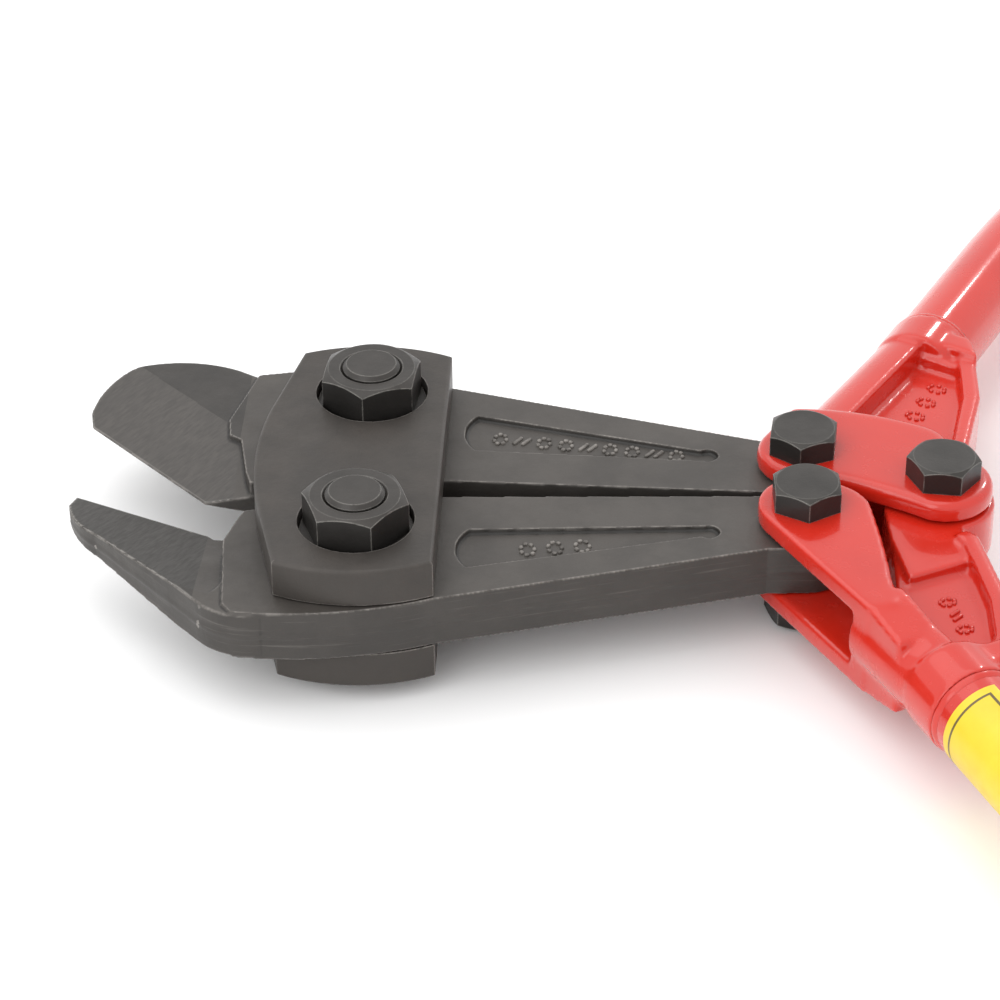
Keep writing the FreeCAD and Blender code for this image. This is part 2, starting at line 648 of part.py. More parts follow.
side_plate("upper_side_plate", upper=True)
side_plate("lower_side_plate", upper=False)
jaw("far_jaw", 1, FAR_NOSE, (-60.7, 5.4), (-33.7, -22.4), 18.2, FAR_HUB)
jaw("near_jaw", -1, NEAR_NOSE, (-60.4, -26.06), (-31.55, -12.7), 23.0, NEAR_HUB)
pivot_set("far", 1, 23.9)
pivot_set("near", -1, 50.7)
forging("far_handle_fork", 1, forked_at_centre=True)
forging("near_handle_fork", -1, forked_at_centre=False)
for prefix, side in (("far", 1), ("near", -1)):
    handle_tube(f"{prefix}_handle_tube", side)
    grip(f"{prefix}_grip", side)
    socket_rivet(f"{prefix}_socket_rivet", side)
tail_y = "(Sizes.pivot_y - Sizes.tail_drop)"
small_set("far_tail", "Sizes.tail_x", tail_y, 23.6)
small_set("near_tail", "Sizes.tail_x", f"-{tail_y}", 32.4)
small_set("centre", "Sizes.tail_x + Sizes.centre_along * cos(Sizes.handle_angle)"
          " + Sizes.centre_across * sin(Sizes.handle_angle)",
          f"{tail_y} + Sizes.centre_along * sin(Sizes.handle_angle)"
          " - Sizes.centre_across * cos(Sizes.handle_angle)", 54.4)
label_band("near_label_band", -1)

doc.recompute()
for item in doc.Objects:
    if "Invalid" in item.State or "Error" in item.State:
        raise RuntimeError(f"{item.Label} is {item.State}")
os.makedirs("parts", exist_ok=True)
for item in SUB_PARTS:
    shape = item.Shape
    if shape.isNull() or not shape.isValid() or not shape.Solids:
        raise RuntimeError(f"{item.Label} has no valid solid")
    shape.exportStep(os.path.join("parts", f"{item.Label}.step"))
    box = shape.BoundBox
    print(f"{item.Label:20s} {len(shape.Solids)} solid  {shape.Volume:10.1f} mm3  "
          f"x {box.XMin:7.1f} {box.XMax:7.1f}  y {box.YMin:7.1f} {box.YMax:7.1f}  "
          f"z {box.ZMin:6.1f} {box.ZMax:6.1f}")
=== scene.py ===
import json
import math

import bmesh
import bpy
from mathutils import Matrix, Vector, noise


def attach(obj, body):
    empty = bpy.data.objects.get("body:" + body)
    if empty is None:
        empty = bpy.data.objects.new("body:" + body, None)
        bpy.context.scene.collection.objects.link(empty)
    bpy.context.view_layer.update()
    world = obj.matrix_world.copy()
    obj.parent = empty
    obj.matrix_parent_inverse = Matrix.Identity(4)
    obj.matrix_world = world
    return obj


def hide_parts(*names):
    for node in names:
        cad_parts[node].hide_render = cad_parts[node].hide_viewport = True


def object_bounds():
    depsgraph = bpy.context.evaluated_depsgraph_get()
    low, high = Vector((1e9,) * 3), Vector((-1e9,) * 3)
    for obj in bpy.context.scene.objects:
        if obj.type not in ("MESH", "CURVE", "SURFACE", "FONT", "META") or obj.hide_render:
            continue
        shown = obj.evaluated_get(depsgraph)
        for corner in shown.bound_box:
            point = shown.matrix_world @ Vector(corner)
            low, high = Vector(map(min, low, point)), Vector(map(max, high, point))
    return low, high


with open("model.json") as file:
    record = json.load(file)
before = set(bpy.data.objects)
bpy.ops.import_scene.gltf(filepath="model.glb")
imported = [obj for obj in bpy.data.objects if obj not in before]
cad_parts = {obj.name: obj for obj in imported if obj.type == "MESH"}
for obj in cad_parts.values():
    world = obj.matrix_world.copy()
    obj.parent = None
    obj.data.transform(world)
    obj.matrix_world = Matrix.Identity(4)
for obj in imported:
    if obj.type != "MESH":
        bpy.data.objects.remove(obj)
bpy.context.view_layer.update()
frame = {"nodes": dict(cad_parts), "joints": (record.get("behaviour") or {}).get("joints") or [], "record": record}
SCENE = bpy.context.scene
RECORD = frame["record"]
MM = 0.001

SLOT_OF = {part["node"]: part["material_slot"] for part in RECORD["subparts"]}
BODY_OF = {node: body for body, nodes in RECORD["behaviour"]["bodies"].items() for node in nodes}
PIVOT = {joint["child"]: Vector(joint["pos_m"]) for joint in frame["joints"]}
MID_HEIGHT = PIVOT["far_jaw"].z

# The handles' own frames: origin on the tail bolt, x along the forging, y away from the middle.
# Socket and tube lean outward by the flare, and past its first straight the tube bends back inward.
HANDLE_ANGLE = math.radians(60)
FLARE = math.radians(4.2)
BEND = math.radians(23.2)
SOCKET_START = 53 * MM
SOCKET_LENGTH = 9.5 * MM
TUBE_IN_SOCKET = 2.2 * MM
TUBE_STRAIGHT = 48 * MM
BEND_RADIUS = 260 * MM
TUBE_END = 250 * MM
TUBE_RADIUS = 9.2 * MM
LABEL_START = SOCKET_LENGTH + 4 * MM
LABEL_LENGTH = 34 * MM
LABEL_HALF_WRAP = math.radians(95)

# The jaws: half the arms' thickness, and where along x each ground nose ends at its hub.
ARM_HALF = 5.6 * MM
NOSE_END = {"far": -27.5 * MM, "near": -31.5 * MM}


# --- placing -------------------------------------------------------------------------------------

def handle_matrix(prefix):
    turn = Matrix.Rotation(HANDLE_ANGLE, 4, "Z")
    if prefix == "near":
        turn = Matrix.Rotation(-HANDLE_ANGLE, 4, "Z") @ Matrix.Rotation(math.pi, 4, "X")
    return Matrix.Translation(PIVOT[f"{prefix}_handle"]) @ turn


def jaw_matrix(prefix):
    turn = Matrix.Identity(4) if prefix == "far" else Matrix.Rotation(math.pi, 4, "X")
    return Matrix.Translation(PIVOT[f"{prefix}_jaw"]) @ turn


def socket_matrix(prefix, along):
    """A frame on the tube's axis, a distance past the start of the socket."""
    place = Vector((SOCKET_START + along * math.cos(FLARE), along * math.sin(FLARE), 0))
    return handle_matrix(prefix) @ Matrix.Translation(place) @ Matrix.Rotation(FLARE, 4, "Z")


def tube_end_matrix(prefix):
    heading = FLARE - BEND
    start = Vector((SOCKET_START, 0, 0)) + direction(FLARE) * (TUBE_IN_SOCKET + TUBE_STRAIGHT)
    centre = start + direction(FLARE - math.pi / 2) * BEND_RADIUS
    leave = centre + direction(heading + math.pi / 2) * BEND_RADIUS
    end = leave + direction(heading) * TUBE_END
    return handle_matrix(prefix) @ Matrix.Translation(end) @ Matrix.Rotation(heading, 4, "Z")


def direction(angle):
    return Vector((math.cos(angle), math.sin(angle), 0))


def new_piece(name, mesh, body):
    piece = bpy.data.objects.new(name, mesh)
    SCENE.collection.objects.link(piece)
    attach(piece, body)
    return piece


def mesh_from(bm, name, matrix=Matrix.Identity(4), smooth_angle=35):
    bm.transform(matrix)
    if matrix.determinant() < 0:
        bmesh.ops.reverse_faces(bm, faces=bm.faces)
    mesh = bpy.data.meshes.new(name)
    bm.to_mesh(mesh)
    bm.free()
    mesh.polygons.foreach_set("use_smooth", [True] * len(mesh.polygons))
    mesh.set_sharp_from_angle(angle=math.radians(smooth_angle))
    return mesh


# --- materials -----------------------------------------------------------------------------------

# Sockets of a colour Mix node, which repeats their names for every data type.
MIX_FACTOR, MIX_FIRST, MIX_SECOND, MIX_RESULT = 0, 6, 7, 2


class Shader:
    """A node tree being put together, with short names for the nodes that every finish uses."""

    def __init__(self, name):
        self.material = bpy.data.materials.new(name)
        self.material.use_nodes = True
        self.tree = self.material.node_tree
        self.surface = self.tree.nodes["Principled BSDF"]
        self.place = self.add("ShaderNodeTexCoord").outputs["Object"]

    def add(self, kind, **values):
        node = self.tree.nodes.new(kind)
        for key, value in values.items():
            setattr(node, key, value)
        return node

    def link(self, source, target):
        self.tree.links.new(source, target)

    def noise(self, scale, detail=4.0, rough=0.55, stretch=None, turn=0.0):
        """Noise over the surface, drawn out by stretch along axes turned about the vertical."""
        node = self.add("ShaderNodeTexNoise")
        node.inputs["Scale"].default_value = scale
        node.inputs["Detail"].default_value = detail
        node.inputs["Roughness"].default_value = rough
        source = self.place
        if stretch:
            mapping = self.add("ShaderNodeMapping", vector_type="TEXTURE")
            mapping.inputs["Scale"].default_value = stretch
            mapping.inputs["Rotation"].default_value = (0, 0, turn)
            self.link(source, mapping.inputs["Vector"])
            source = mapping.outputs["Vector"]
        self.link(source, node.inputs["Vector"])
        return node.outputs["Fac"]

    def cells(self, scale):
        node = self.add("ShaderNodeTexVoronoi")
        node.inputs["Scale"].default_value = scale
        self.link(self.place, node.inputs["Vector"])
        return node.outputs["Distance"]

    def spread(self, value, low, high, to_low=0.0, to_high=1.0):
        node = self.add("ShaderNodeMapRange")
        for key, number in (("From Min", low), ("From Max", high), ("To Min", to_low),
                            ("To Max", to_high)):
            node.inputs[key].default_value = number
        self.link(value, node.inputs["Value"])
        return node.outputs["Result"]

    def mix(self, factor, first, second):
        """A colour between two, each given as a tuple or as another node's output."""
        node = self.add("ShaderNodeMix", data_type="RGBA")
        self.link(factor, node.inputs[MIX_FACTOR])
        for index, value in ((MIX_FIRST, first), (MIX_SECOND, second)):
            if isinstance(value, tuple):
                node.inputs[index].default_value = (*value, 1.0)
            else:
                self.link(value, node.inputs[index])
        return node.outputs[MIX_RESULT]

    def mottled(self, light, dark):
        """Oxide in two tones: broad patches, with the dark tone flecked finely over both."""
        patches = self.spread(self.noise(70, 6, 0.62), 0.40, 0.62)
        flecks = self.spread(self.noise(2600, 3, 0.7), 0.3, 0.75, 0.0, 0.4)
        return self.mix(flecks, self.mix(patches, light, dark), dark)

    def colour(self, value):
        self.link(value, self.surface.inputs["Base Color"])

    def roughness(self, source, low, high):
        """Roughness that wanders between two values with a noise."""
        self.link(self.spread(source, 0.3, 0.7, low, high), self.surface.inputs["Roughness"])

    def bump(self, layers, edge=None):
        """Stacks bump layers (height, distance in metres, strength) over softened edges."""
        normal = None
        if edge:
            normal = self.rounded_normal(edge)
        for height, distance, strength in layers:
            node = self.add("ShaderNodeBump")
            node.inputs["Distance"].default_value = distance
            node.inputs["Strength"].default_value = strength
            self.link(height, node.inputs["Height"])
            if normal:
                self.link(normal, node.inputs["Normal"])
            normal = node.outputs["Normal"]
        self.link(normal, self.surface.inputs["Normal"])

    def rounded_normal(self, radius):
        node = self.add("ShaderNodeBevel", samples=6)
        node.inputs["Radius"].default_value = radius
        return node.outputs["Normal"]

    def edge_mask(self, radius):
        """One where the surface bends away sharply, as on an edge brightened by wear and a painted highlight, and
        nought on the flats.
        """
        plain = self.add("ShaderNodeNewGeometry")
        dot = self.add("ShaderNodeVectorMath", operation="DOT_PRODUCT")
        self.link(self.rounded_normal(radius), dot.inputs[0])
        self.link(plain.outputs["Normal"], dot.inputs[1])
        return self.spread(dot.outputs["Value"], 0.995, 0.90)

    def curvature(self, flat, sharp):
        """Nought on even skin and one where it turns: a ridge if sharp is over flat, else a hollow."""
        skin = self.add("ShaderNodeNewGeometry")
        return self.spread(skin.outputs["Pointiness"], flat, sharp)

    def upright(self):
        """One on walls that stand up and nought on faces that lie level."""
        skin = self.add("ShaderNodeNewGeometry")
        lie = self.add("ShaderNodeVectorMath", operation="DOT_PRODUCT")
        self.link(skin.outputs["Normal"], lie.inputs[0])
        lie.inputs[1].default_value = (0, 0, 1)
        level = self.add("ShaderNodeMath", operation="ABSOLUTE")
        self.link(lie.outputs["Value"], level.inputs[0])
        return self.spread(level.outputs[0], 0.75, 0.35)

    def both(self, first, second):
        node = self.add("ShaderNodeMath", operation="MULTIPLY")
        self.link(first, node.inputs[0])
        self.link(second, node.inputs[1])
        return node.outputs[0]

    def set(self, **values):
        names = {"specular": "Specular IOR Level", "coat": "Coat Weight",
                 "coat_roughness": "Coat Roughness", "metallic": "Metallic",
                 "roughness": "Roughness", "sheen": "Sheen Weight"}
        for key, value in values.items():
            self.surface.inputs[names[key]].default_value = value


def oxide_steel(name, light, dark, shade, wear_and_highlight, roughness, grain, edge):
    """Blackened steel: mottled, finely grained, walls darkened with painted shade, and edges brighter, partly from
    wear and partly as a painted highlight.
    """
    s = Shader(name)
    colour = s.mottled(light, dark)
    # Walls take up to 0.6 of the shade colour: painted shade on faces that stand up.
    colour = s.mix(s.spread(s.upright(), 0.0, 1.0, 0.0, 0.6), colour, shade)
    # Edges lighten in patches: partly wear, partly a painted highlight.
    rubbed_and_highlit = s.both(s.edge_mask(edge), s.spread(s.noise(420, 4, 0.7), 0.34, 0.52, 0.25, 1.0))
    s.colour(s.mix(rubbed_and_highlit, colour, wear_and_highlight))
    s.roughness(s.noise(160, 5, 0.6), roughness - 0.07, roughness + 0.08)
    s.set(metallic=0.15, specular=0.32)
    drawn = s.noise(900, 4, 0.6, stretch=(12, 12, 1))
    s.bump([(drawn, 0.00010, 0.25), (s.noise(grain, 7, 0.62), 0.00018, 0.32),
            (s.noise(3200, 3, 0.6), 0.00004, 0.4)], edge)
    return s.material


def forged_steel(name, light, dark, wear_and_highlight, scale):
    """Oxide on a forging: painted shade on the walls and in the hollows, ridges brighter partly from wear and
    partly as a painted highlight, streaks along the walls.
    """
    s = Shader(name)
    colour = s.mottled(light, dark)
    wall = s.upright()
    # Walls take up to 0.45 of the scale colour, which here is painted shade.
    colour = s.mix(s.spread(wall, 0.0, 1.0, 0.0, 0.45), colour, scale)
    drawn = s.noise(1300, 5, 0.65, stretch=(26, 26, 1))
    streaks = s.both(wall, s.spread(drawn, 0.58, 0.74, 0.0, 0.22))
    colour = s.mix(streaks, colour, wear_and_highlight)
    # Hollows take the scale colour as well: painted shade in the creases.
    colour = s.mix(s.curvature(0.496, 0.476), colour, scale)
    # Ridges lighten in patches: partly wear, partly a painted highlight.
    ridge = s.both(s.curvature(0.512, 0.548), s.spread(s.noise(380, 5, 0.7), 0.38, 0.60, 0.1, 0.8))
    s.colour(s.mix(ridge, colour, wear_and_highlight))
    s.roughness(s.noise(160, 5, 0.6), 0.40, 0.54)
    s.set(metallic=0.15, specular=0.5)
    s.bump([(drawn, 0.00014, 0.30), (s.noise(520, 7, 0.62), 0.00018, 0.32),
            (s.noise(3200, 3, 0.6), 0.00004, 0.4)])
    return s.material


def ground_steel(name, turn, light, dark):
    """The cutting bevels: ground across the edge, so finer and drawn out one way."""
    s = Shader(name)
    strokes = s.noise(1500, 4, 0.6, stretch=(24, 1, 1), turn=turn)
    colour = s.mix(s.spread(strokes, 0.35, 0.65), light, dark)
    colour = s.mix(s.spread(s.noise(130, 5, 0.6), 0.45, 0.70, 0.0, 0.6), colour, dark)
    # Hollows darkened as painted shade, and ridges lightened partly by wear and partly as a painted highlight.
    painted_shade_in_corners = (0.014, 0.012, 0.011)
    edge_wear_and_highlight = (0.20, 0.19, 0.175)
    colour = s.mix(s.curvature(0.496, 0.478), colour, painted_shade_in_corners)
    s.colour(s.mix(s.curvature(0.508, 0.540), colour, edge_wear_and_highlight))
    s.roughness(strokes, 0.36, 0.48)
    s.set(metallic=0.2, specular=0.5)
    s.bump([(strokes, 0.00005, 0.3), (s.noise(600, 5, 0.6), 0.00010, 0.2)])
    return s.material


def red_enamel():
    """Thick glossy paint over a forging: two near reds, a few sunken specks, a slight orange peel."""
    s = Shader("red_enamel")
    tone = s.spread(s.noise(38, 4, 0.5), 0.35, 0.68)
    colour = s.mix(tone, (0.58, 0.022, 0.010), (0.52, 0.017, 0.008))
    specks = s.spread(s.cells(210), 0.03, 0.055)
    colour = s.mix(s.spread(specks, 0.0, 1.0, 0.16, 0.0), colour, (0.30, 0.012, 0.008))
    s.colour(colour)
    s.roughness(s.noise(240, 4, 0.55), 0.20, 0.30)
    s.set(specular=0.40, coat=0.60, coat_roughness=0.05)
    s.bump([(s.noise(75, 3, 0.5), 0.0006, 0.18), (s.noise(700, 3, 0.5), 0.00008, 0.22)], 0.0005)
    return s.material


def grip_rubber():
    """Matt black rubber with a fine pebble and a little dust."""
    s = Shader("grip_rubber")
    dusty = s.spread(s.noise(90, 6, 0.65), 0.42, 0.7)
    s.colour(s.mix(dusty, (0.016, 0.016, 0.017), (0.030, 0.029, 0.028)))
    s.roughness(s.noise(300, 4, 0.6), 0.55, 0.72)
    s.set(specular=0.4)
    s.bump([(s.cells(1500), 0.00012, 0.35), (s.noise(5000, 2, 0.5), 0.00003, 0.4)])
    return s.material


def label_film(name, colour, faded):
    """Smooth plastic film, slightly faded in patches."""
    s = Shader(name)
    s.colour(s.mix(s.spread(s.noise(130, 5, 0.6), 0.35, 0.7), colour, faded))
    s.roughness(s.noise(500, 3, 0.5), 0.30, 0.42)
    s.set(specular=0.5, coat=0.2, coat_roughness=0.2)
    s.bump([(s.noise(260, 3, 0.5), 0.00008, 0.3)])
    return s.material


FINISH = {
    "black_oxide_jaw": forged_steel(
        "forged_oxide", light=(0.072, 0.064, 0.057), dark=(0.052, 0.046, 0.041),
        # The scale colour is painted shade for the jaws' walls and hollows.
        wear_and_highlight=(0.26, 0.24, 0.22), scale=(0.019, 0.017, 0.015)),
    "black_oxide_steel": oxide_steel(
        "plate_oxide", light=(0.062, 0.054, 0.048), dark=(0.046, 0.041, 0.037),
        shade=(0.050, 0.044, 0.039), wear_and_highlight=(0.27, 0.25, 0.23), roughness=0.42, grain=900,
        edge=0.5 * MM),
    "black_hardware": oxide_steel(
        "hardware_oxide", light=(0.052, 0.047, 0.043), dark=(0.034, 0.031, 0.028),
        shade=(0.006, 0.006, 0.006), wear_and_highlight=(0.25, 0.24, 0.22), roughness=0.36, grain=480,
        edge=0.4 * MM),
    "red_enamel": red_enamel(),
    "grip_rubber": grip_rubber(),
    "label_film": label_film("label_film", (0.78, 0.58, 0.020), (0.72, 0.52, 0.015)),
}
GROUND = {
    "far": ground_steel("far_ground_bevel", turn=math.radians(44),
                        light=(0.068, 0.061, 0.055), dark=(0.052, 0.047, 0.043)),
    # The near copy is darker than the far one: painted shade on the same ground finish.
    "near": ground_steel("near_ground_bevel", turn=math.radians(65),
                         light=(0.040, 0.036, 0.032), dark=(0.028, 0.025, 0.022)),
}
# A darker copy of the forged oxide for the nose's top facets, as painted shade.
NOSE_PAINTED_SHADE = forged_steel(
    "nose_painted_shade", light=(0.042, 0.037, 0.033), dark=(0.029, 0.026, 0.023),
    wear_and_highlight=(0.17, 0.16, 0.145), scale=(0.015, 0.013, 0.012))
BORDER_INK = label_film("border_ink", (0.10, 0.07, 0.02), (0.15, 0.10, 0.03))


def paint(piece, material):
    piece.data.materials.clear()
    piece.data.materials.append(material)


# --- forgings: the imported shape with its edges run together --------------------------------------

# Voxel size and rounds of smoothing: the jaws keep crisper edges than the enamelled handles.
JAW_SKIN = (0.28 * MM, 4)
HANDLE_SKIN = (0.45 * MM, 20)
WELD = 2e-6

# Reach round each bore that stays true, the height in mm of an arm's swell and of its seam, and the
# seam's width and wander as shares of the arm's half thickness.
PIVOT_BORE = 8.5 * MM
TAIL_BORE = 5.5 * MM
SWELL_MM = 0.16
SEAM_MM = 0.15
SEAM_WIDTH = 0.11
SEAM_WANDER = 0.04

# How level a nose's faces lie, as the upright part of their normal: ground bevels, then tops.
BEVEL_LEVEL = (0.90, 0.988)
TOP_LEVEL = 0.6
GROUND_SLOT, NOSE_SHADE_SLOT = 1, 2


def tidy_copy(node):
    """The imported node's surface as one welded mesh."""
    bm = bmesh.new()
    bm.from_mesh(frame["nodes"][node].data)
    bmesh.ops.remove_doubles(bm, verts=bm.verts, dist=WELD)
    return bm


def forged(node, name, voxel, rounds):
    """Rebuilds a node as a drop forging: even skin, corners filled in and edges rounded over."""
    mesh = mesh_from(tidy_copy(node), name)
    piece = new_piece(name, mesh, BODY_OF[node])
    remesh = piece.modifiers.new("skin", "REMESH")
    remesh.mode = "VOXEL"
    remesh.voxel_size = voxel
    ease = piece.modifiers.new("ease", "SMOOTH")
    ease.factor = 0.5
    ease.iterations = rounds
    bpy.context.view_layer.update()
    shaped = bpy.data.meshes.new_from_object(
        piece.evaluated_get(bpy.context.evaluated_depsgraph_get()))
    piece.modifiers.clear()
    piece.data = shaped
    shaped.name = name
    shaped.polygons.foreach_set("use_smooth", [True] * len(shaped.polygons))
    paint(piece, FINISH[SLOT_OF[node]])
    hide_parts(node)
    return piece


def draft_sides(piece, prefix):
    """Gives a jaw's outer side its forging draft and the trimmed seam where the dies met."""
    outward = Vector((0, 1 if prefix == "far" else -1, 0))
    holes = ((PIVOT[f"{prefix}_jaw"], PIVOT_BORE), (PIVOT[f"{prefix}_handle"], TAIL_BORE))
    mesh = piece.data
    places = [vertex.co.copy() for vertex in mesh.vertices]
    normals = [entry.vector.copy() for entry in mesh.vertex_normals]
    for place, normal in zip(places, normals):
        flat = Vector((normal.x, normal.y, 0))
        in_hole = any((place.xy - centre.xy).length < reach for centre, reach in holes)
        if in_hole or flat.length < 0.6 or flat.dot(outward) < 0.35:
            continue
        height = (place.z - MID_HEIGHT) / ARM_HALF
        ragged = noise.noise(place * 260)
        swell = SWELL_MM * (1 - min(1.0, height * height))
        off_seam = (height - SEAM_WANDER * ragged) / SEAM_WIDTH
        seam = SEAM_MM * math.exp(-off_seam ** 2) * (1 + 0.2 * ragged)
        place += flat * ((swell + seam) * MM)
    mesh.vertices.foreach_set("co", [number for place in places for number in place])
    mesh.update()


def finish_nose(piece, prefix):
    """Gives a nose's sloping faces the ground finish, and the rest of it a darker copy of the forged oxide as
    painted shade.
    """
    piece.data.materials.append(GROUND[prefix])
    piece.data.materials.append(NOSE_PAINTED_SHADE)
    for face in piece.data.polygons:
        level = abs(face.normal.z)
        if face.center.x > NOSE_END[prefix]:
            continue
        if BEVEL_LEVEL[0] < level < BEVEL_LEVEL[1]:
            face.material_index = GROUND_SLOT
        elif level > TOP_LEVEL:
            face.material_index = NOSE_SHADE_SLOT


for prefix in ("far", "near"):
    jaw = forged(f"{prefix}_jaw", f"{prefix}_jaw_forging", *JAW_SKIN)
    draft_sides(jaw, prefix)
    finish_nose(jaw, prefix)
    forged(f"{prefix}_handle_fork", f"{prefix}_handle_forging", *HANDLE_SKIN)

for node, cad in frame["nodes"].items():
    if not cad.hide_render:
        paint(cad, FINISH[SLOT_OF[node]])


# --- raised marks --------------------------------------------------------------------------------

MARK_ROUNDING = 0.32 * MM
MARK_HEIGHT = 0.9 * MM
MARK_STROKE = 0.85 * MM

# A mark's own proportions, against its size: the ring of dots, then the pair of leaning bars.
RING_DOTS = 7
RING_LONG, RING_TALL = 0.30, 0.42
BAR_SHIFT = 0.22
BAR_LENGTH = 0.75
BAR_LEAN = math.radians(62)


def small_marks(name, body, slot, matrix, marks, height):
    """A row of low, round-edged studs and bars standing on a forging's face."""
    bm = bmesh.new()
    for x, y, length, width, angle in marks:
        made = bmesh.ops.create_cube(bm, size=1.0)["verts"]
        bmesh.ops.scale(bm, vec=(length, width, height), verts=made)
        bmesh.ops.rotate(bm, cent=(0, 0, 0), matrix=Matrix.Rotation(angle, 3, "Z"), verts=made)
        bmesh.ops.translate(bm, vec=(x, y, 0), verts=made)
    bmesh.ops.bevel(bm, geom=list(bm.edges), offset=MARK_ROUNDING, segments=3, profile=0.5,
                    affect="EDGES", clamp_overlap=True)
    piece = new_piece(name, mesh_from(bm, name, matrix), body)
    paint(piece, FINISH[slot])


def tally(start, end, count, size, kinds):
    """Ornament along a line: rings of dots and leaning pairs of bars, in no script."""
    run = end - start
    along = run.normalized()
    across = Vector((-along.y, along.x, 0))
    lean = math.atan2(run.y, run.x)
    marks = []
    for step in range(count):
        at = start + run * (step / max(1, count - 1))
        if kinds[step % len(kinds)] == "ring":
            for dot in range(RING_DOTS):
                angle = 2 * math.pi * dot / RING_DOTS
                out = along * RING_LONG * math.cos(angle) + across * RING_TALL * math.sin(angle)
                spot = at + out * size
                marks.append((spot.x, spot.y, MARK_STROKE * 1.2, MARK_STROKE,
                              lean + angle + math.pi / 2))
        else:
            for shift in (-BAR_SHIFT, BAR_SHIFT):
                spot = at + along * shift * size
                marks.append((spot.x, spot.y, BAR_LENGTH * size, MARK_STROKE, lean + BAR_LEAN))
    return marks


# --- grips and socket beads ----------------------------------------------------------------------

# Along the grip in mm, back from the tube's end: the ribbed zone, one rib's pitch and the cap.
RIBS_START = -133.0
RIBS_END = -18.0
RIB_PITCH = 4.6
CAP_START = -2.0
CAP_CORE = 6.5
CAP_ROUNDING = 6.3

# The flutes along the ribbed zone, how deep they are, and over how many mm they fade out.
FLUTES = 18
FLUTE_DEPTH = 0.22 * MM
FLUTE_START = -131
FLUTE_END = -19
FLUTE_FADE = 6

# A bead of enamel in section, in mm past the socket's mouth and above the tube.
BEAD = ((-0.3, -0.1), (-0.3, 0.35), (0.1, 0.46), (0.5, 0.36), (0.9, 0.14), (1.3, 0.0), (1.3, -0.1))


def lathe(profile, segments, matrix, name, flute=None):
    """Turns a profile of (x, radius) round the x axis, optionally fluting the radius."""
    bm = bmesh.new()
    rings = []
    for x, radius in profile:
        ring = []
        for step in range(segments):
            angle = 2 * math.pi * step / segments
            out = radius + (flute(x, angle) if flute else 0.0)
            ring.append(bm.verts.new((x, out * math.cos(angle), out * math.sin(angle))))
        rings.append(ring)
    for first, second in zip(rings, rings[1:]):
        for step in range(segments):
            after = (step + 1) % segments
            bm.faces.new((first[step], first[after], second[after], second[step]))
    bm.faces.new(list(reversed(rings[0])))
    bm.faces.new(rings[-1])
    bmesh.ops.recalc_face_normals(bm, faces=bm.faces)
    return mesh_from(bm, name, matrix, smooth_angle=60)


def grip_profile():
    """Collar at the mouth, ribbed hand zone between two plain bands, and a rounded closed end."""
    points = [(-145.0, 9.3), (-145.0, 12.6), (-144.2, 13.9), (-142.6, 14.4), (-140.6, 14.4),
              (-139.0, 13.6), (-137.6, 13.0), (RIBS_START, 13.0)]
    x = RIBS_START
    while x < RIBS_END:
        points += [(x + 0.5, 13.05), (x + 1.1, 12.45), (x + 1.9, 12.45), (x + 2.5, 13.05),
                   (x + RIB_PITCH, 13.15)]
        x += RIB_PITCH
    points += [(-16.0, 13.1), (-13.5, 13.1), (-11.5, 13.45), (-6.0, 13.45), (CAP_START, 13.3)]
    for step in range(1, 7):
        angle = math.radians(15 * step)
        points.append((CAP_START + CAP_ROUNDING * math.sin(angle),
                       CAP_CORE + CAP_ROUNDING * math.cos(angle)))
    points += [(4.85, 3.4), (4.4, 2.6), (3.9, 1.6), (3.8, 0.6)]
    return [(px * MM, pr * MM) for px, pr in points]


def grip_flute(x, angle):
    """How far the fluting draws the surface in, fading out at both ends of the hand zone."""
    past_start = max(0.0, min(1.0, (x / MM - FLUTE_START) / FLUTE_FADE))
    before_end = max(0.0, min(1.0, (FLUTE_END - x / MM) / FLUTE_FADE))
    return -FLUTE_DEPTH * (past_start * before_end) * (0.5 + 0.5 * math.cos(FLUTES * angle))


for prefix in ("far", "near"):
    handle = f"{prefix}_handle"
    mesh = lathe(grip_profile(), 144, tube_end_matrix(prefix), f"{prefix}_grip_sleeve", grip_flute)
    sleeve = new_piece(f"{prefix}_grip_sleeve", mesh, handle)
    paint(sleeve, FINISH["grip_rubber"])
    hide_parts(f"{prefix}_grip")

    # the run of enamel left where the tube enters its socket
    name = f"{prefix}_socket_bead"
    section = [(SOCKET_LENGTH + past * MM, TUBE_RADIUS + above * MM) for past, above in BEAD]
    bead = new_piece(name, lathe(section, 96, socket_matrix(prefix, 0), name), handle)
    paint(bead, FINISH["red_enamel"])


# --- the band's printed border -------------------------------------------------------------------

BORDER_RADIUS = TUBE_RADIUS + 0.22 * MM
BORDER_INSET = 1.8 * MM
BORDER_WIDTH = 0.55 * MM
BORDER_STEPS = 48


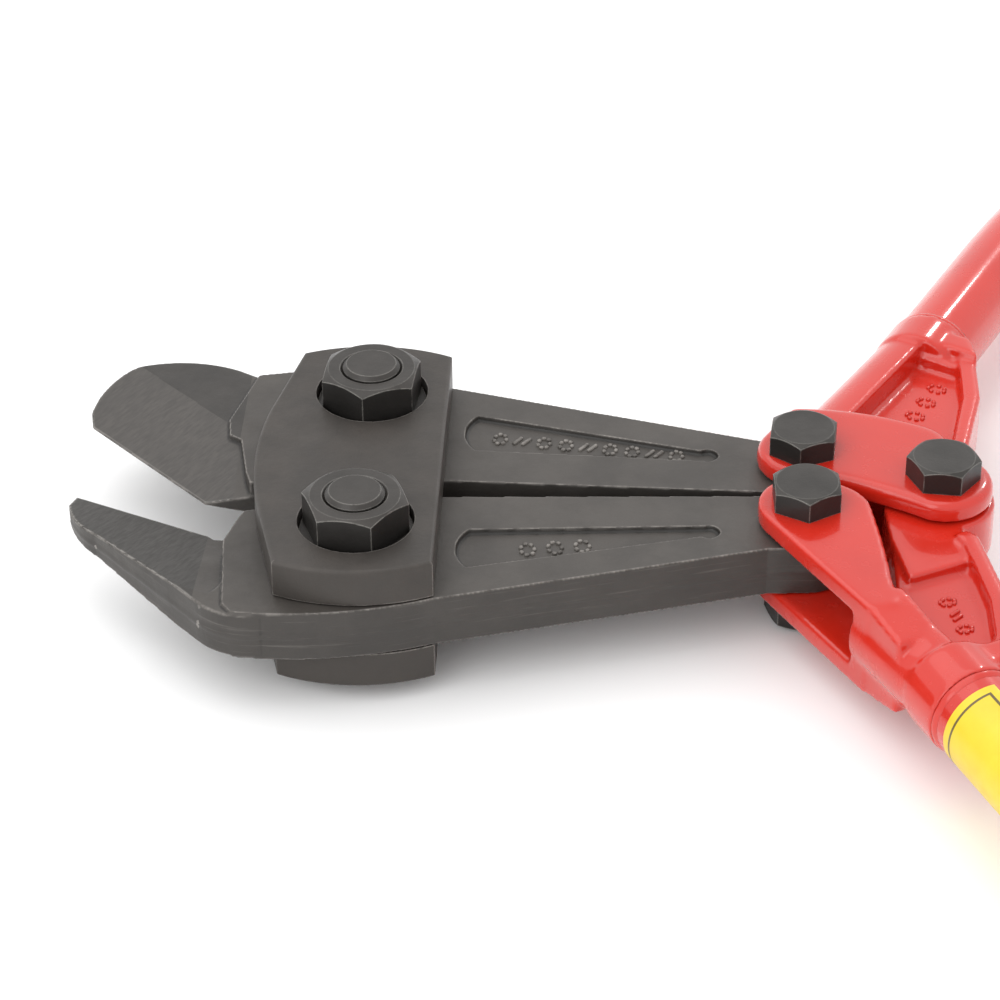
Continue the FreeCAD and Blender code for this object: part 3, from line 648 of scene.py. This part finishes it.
def border_frame():
    """A thin closed line printed a little inside the band's edges, standing just off its film."""
    bm = bmesh.new()
    reach = LABEL_HALF_WRAP - BORDER_INSET / BORDER_RADIUS

    def arc(x):
        points = []
        for step in range(BORDER_STEPS + 1):
            angle = reach * (2 * step / BORDER_STEPS - 1)
            points.append(bm.verts.new((x, BORDER_RADIUS * math.cos(angle),
                                        BORDER_RADIUS * math.sin(angle))))
        return points

    def span(first, second, steps):
        for step in steps:
            bm.faces.new((first[step], first[step + 1], second[step + 1], second[step]))

    low, high = BORDER_INSET, LABEL_LENGTH - BORDER_INSET
    arcs = [arc(low), arc(low + BORDER_WIDTH), arc(high - BORDER_WIDTH), arc(high)]
    span(arcs[0], arcs[1], range(BORDER_STEPS))
    span(arcs[2], arcs[3], range(BORDER_STEPS))
    span(arcs[1], arcs[2], (0, BORDER_STEPS - 1))
    bmesh.ops.recalc_face_normals(bm, faces=bm.faces)
    return mesh_from(bm, "near_label_border", socket_matrix("near", LABEL_START))


border = new_piece("near_label_border", border_frame(), "near_handle")
paint(border, BORDER_INK)


# --- marks on the arms and forgings --------------------------------------------------------------

ARM_FLOOR = 4.55 * MM
WEB_FLOOR = 3.25 * MM

# Piece, body, slot, the body's own frame and the marks' height in it, the first and last mark in mm,
# how many there are, their size in mm, and the kinds in turn.
MARK_ROWS = (
    ("far_arm_marks", "far_jaw", "black_oxide_jaw", jaw_matrix("far"), ARM_FLOOR,
     (27, -3.4), (64, -8.8), 9, 4.2, ("ring", "bars", "ring")),
    ("near_arm_marks", "near_jaw", "black_oxide_jaw", jaw_matrix("near"), -ARM_FLOOR,
     (34, -3.6), (45, -5.0), 3, 4.6, ("ring",)),
    ("far_web_marks", "far_handle", "red_enamel", handle_matrix("far"), WEB_FLOOR,
     (33, -9.8), (45, -9.0), 3, 4.4, ("ring",)),
    ("near_web_marks", "near_handle", "red_enamel", handle_matrix("near"), -WEB_FLOOR,
     (34, -11.8), (43, -9.8), 3, 3.6, ("ring", "bars")),
)
for name, body, slot, matrix, floor, start, end, count, size, kinds in MARK_ROWS:
    marks = tally(Vector((*start, 0)) * MM, Vector((*end, 0)) * MM, count, size * MM, kinds)
    small_marks(name, body, slot, matrix @ Matrix.Translation((0, 0, floor)), marks,
                MARK_HEIGHT)


# --- camera, lights and floor --------------------------------------------------------------------

# The photograph's viewpoint, fitted to the tool's straight edges and hexagons: place in metres, turn
# in degrees about x, y and z, lens and sensor width in mm.
CAMERA_PLACE = (0.052433, -0.576424, 0.412906)
CAMERA_TURN = (55.5381, 0.3713, 2.2025)
CAMERA_LENS = 122.4
CAMERA_SENSOR = 36.0

# What the lamps are aimed at, the gap under the tool, and the brightness of the surroundings.
HEAD = (0.03, 0, 0)
TAILS = (0.08, 0, 0)
FLOOR_GAP = 0.1 * MM
SKY_STRENGTH = 1.08


def add_camera():
    data = bpy.data.cameras.new("camera")
    data.lens = CAMERA_LENS
    data.sensor_width = CAMERA_SENSOR
    data.clip_start = 0.01
    camera = bpy.data.objects.new("camera", data)
    camera.location = CAMERA_PLACE
    camera.rotation_euler = [math.radians(turn) for turn in CAMERA_TURN]
    SCENE.collection.objects.link(camera)
    SCENE.camera = camera


def add_light(name, place, aim, size, power):
    data = bpy.data.lights.new(name, "AREA")
    data.shape = "DISK"
    data.size = size
    data.energy = power
    lamp = bpy.data.objects.new(name, data)
    lamp.location = place
    lamp.rotation_euler = (Vector(aim) - Vector(place)).to_track_quat("-Z", "Y").to_euler()
    SCENE.collection.objects.link(lamp)


def add_floor():
    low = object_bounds()[0].z - FLOOR_GAP
    bm = bmesh.new()
    bmesh.ops.create_grid(bm, x_segments=8, y_segments=8, size=6.0)
    floor = bpy.data.objects.new("floor", mesh_from(bm, "floor", Matrix.Translation((0, 0, low))))
    SCENE.collection.objects.link(floor)
    s = Shader("floor_paper")
    s.colour(s.mix(s.spread(s.noise(3, 2, 0.5), 0.3, 0.7), (0.96, 0.96, 0.96),
                   (0.94, 0.94, 0.94)))
    s.set(roughness=0.9, specular=0.1)
    paint(floor, s.material)


add_camera()
add_floor()
add_light("key", place=(-0.7, 0.35, 2.0), aim=HEAD, size=2.6, power=15)
add_light("fill", place=(-0.9, -1.4, 1.2), aim=HEAD, size=1.6, power=11)
add_light("strip", place=(0.45, 0.9, 0.7), aim=TAILS, size=0.10, power=0.7)
world = bpy.data.worlds.new("studio")
SCENE.world = world
world.use_nodes = True
sky = world.node_tree.nodes["Background"]
sky.inputs["Color"].default_value = (1, 1, 1, 1)
sky.inputs["Strength"].default_value = SKY_STRENGTH
SCENE.view_settings.view_transform = "Standard"
